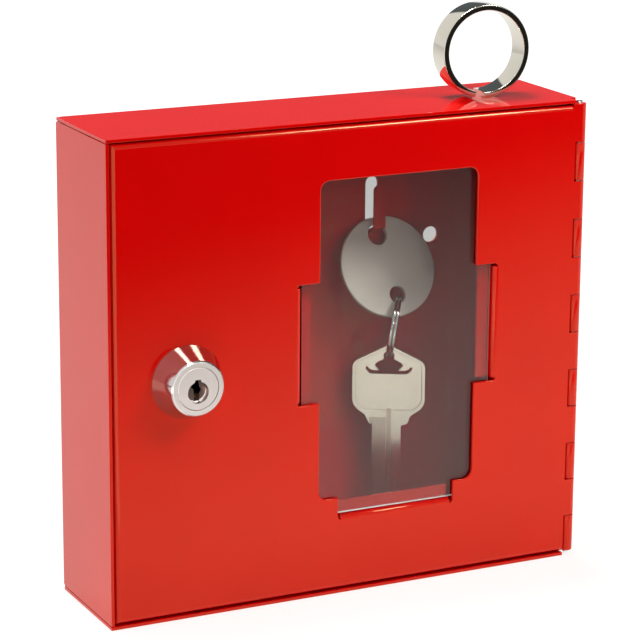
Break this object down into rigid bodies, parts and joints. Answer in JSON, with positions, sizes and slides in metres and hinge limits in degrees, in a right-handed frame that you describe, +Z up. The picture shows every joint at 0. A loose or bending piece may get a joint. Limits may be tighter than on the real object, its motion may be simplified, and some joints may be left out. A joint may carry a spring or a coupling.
{
  "type": "break glass key box",
  "caption": "Wall-mounted folded steel key box with a hinged, locked door, a break pane in its window, and a tagged key on the hook inside.",
  "frame": {"origin": "centre of the case's bottom face, below the middle of its width and depth", "axes": "+X to the right as seen from the front, +Y to the back where the wall is, +Z up"},
  "size_m": [0.162, 0.0496, 0.1792],
  "materials": {
    "case_paint": "gloss",
    "door_paint": "gloss",
    "zinc": "satin",
    "bright_steel": "bright",
    "pane": "clear",
    "chrome": "polished",
    "plug": "nickel plated, satin",
    "brass": "satin",
    "tag": "dull",
    "key": "nickel plated, satin"
  },
  "bodies": {
    "case": {"body_shell": "case_paint", "keeper_bracket": "zinc", "hinge_pin": "bright_steel"},
    "door": {"door_panel": "door_paint", "lock_housing": "chrome", "lock_washer": "zinc", "lock_nut": "zinc"},
    "plug": {"lock_plug": "plug", "wafer_1": "brass", "wafer_2": "brass", "wafer_3": "brass", "wafer_4": "brass", "wafer_5": "brass", "wafer_springs": "bright_steel", "cam_stop": "zinc", "lock_cam": "zinc", "cam_washer": "zinc", "cam_screw": "zinc"},
    "pane": {"break_pane": "pane"},
    "tag": {"key_tag": "tag"},
    "split_ring": {"link_ring": "chrome"},
    "key": {"spare_key": "key"},
    "top_ring": {"loose_ring": "chrome"}
  },
  "joints": [
    {"name": "door_swing", "type": "hinge", "parent": "case", "child": "door", "pos_m": [0.08, -0.01845, 0.075], "axis": [0, 0, 1], "range_deg": [0, 180]},
    {"name": "plug_turn", "type": "hinge", "parent": "door", "child": "plug", "pos_m": [-0.055, -0.0205, 0.075], "axis": [0, 1, 0], "range_deg": [0, 90]},
    {"name": "pane_lift", "type": "slide", "parent": "door", "child": "pane", "axis": [0, 0, 1], "range_m": [0, 0.007]},
    {"name": "tag_swing", "type": "hinge", "parent": "case", "child": "tag", "pos_m": [0.0265, 0.01586, 0.10427], "axis": [0, -0.9063, 0.4226], "range_deg": [-8, 8]},
    {"name": "ring_swing", "type": "hinge", "parent": "tag", "child": "split_ring", "pos_m": [0.03016, 0.007, 0.08528], "axis": [0.5, 0.866, 0], "range_deg": [-8, 5]},
    {"name": "key_swing", "type": "hinge", "parent": "split_ring", "child": "key", "pos_m": [0.02774, 0.0084, 0.06659], "axis": [0.5, 0.866, 0], "range_deg": [-8, 8]},
    {"name": "top_ring_lift", "type": "slide", "parent": "case", "child": "top_ring", "axis": [0, 0, 1], "range_m": [0, 0.03]}
  ]
}
